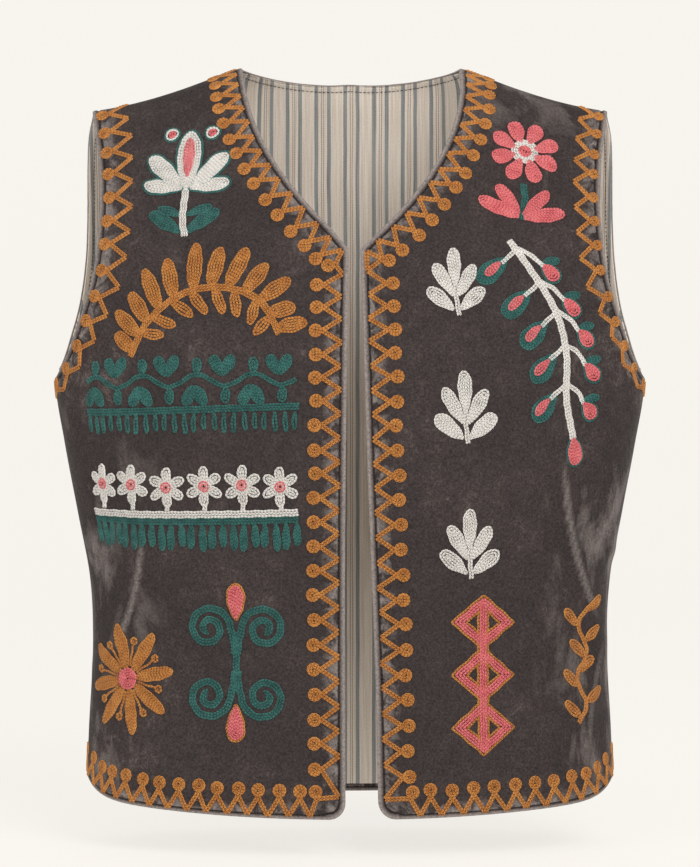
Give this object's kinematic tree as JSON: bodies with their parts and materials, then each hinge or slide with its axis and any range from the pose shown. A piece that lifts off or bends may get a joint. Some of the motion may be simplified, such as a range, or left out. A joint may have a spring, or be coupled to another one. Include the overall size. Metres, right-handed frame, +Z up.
{
  "type": "embroidered waistcoat",
  "caption": "Open, sleeveless velvet waistcoat with a V neck, rounded front hem corners and a striped cotton lining, filled out as worn.",
  "frame": {"origin": "midway between the two neck points, the neck ends of the shoulder seams, at their height and in the plane of the shoulder and side seams", "axes": "+Z up, +X towards the wearer's left side, -Y towards the front of the garment"},
  "size_m": [0.44, 0.1897, 0.5505],
  "materials": {
    "velvet": "dark grey-brown crushed cotton velvet",
    "striped_cotton": "beige plain-weave cotton with woven blue-grey and brown stripes",
    "ochre_thread": "ochre cotton embroidery thread in chain stitch",
    "white_thread": "off-white cotton embroidery thread in chain stitch",
    "teal_thread": "dark teal cotton embroidery thread in chain stitch",
    "pink_thread": "coral pink cotton embroidery thread in chain stitch",
    "sewing_thread": "dark grey sewing thread of the topstitching"
  },
  "bodies": {
    "root": {"front_right": "velvet", "front_left": "velvet", "back": "velvet", "lining_front_right": "striped_cotton", "lining_front_left": "striped_cotton", "lining_back": "striped_cotton"}
  },
  "joints": []
}
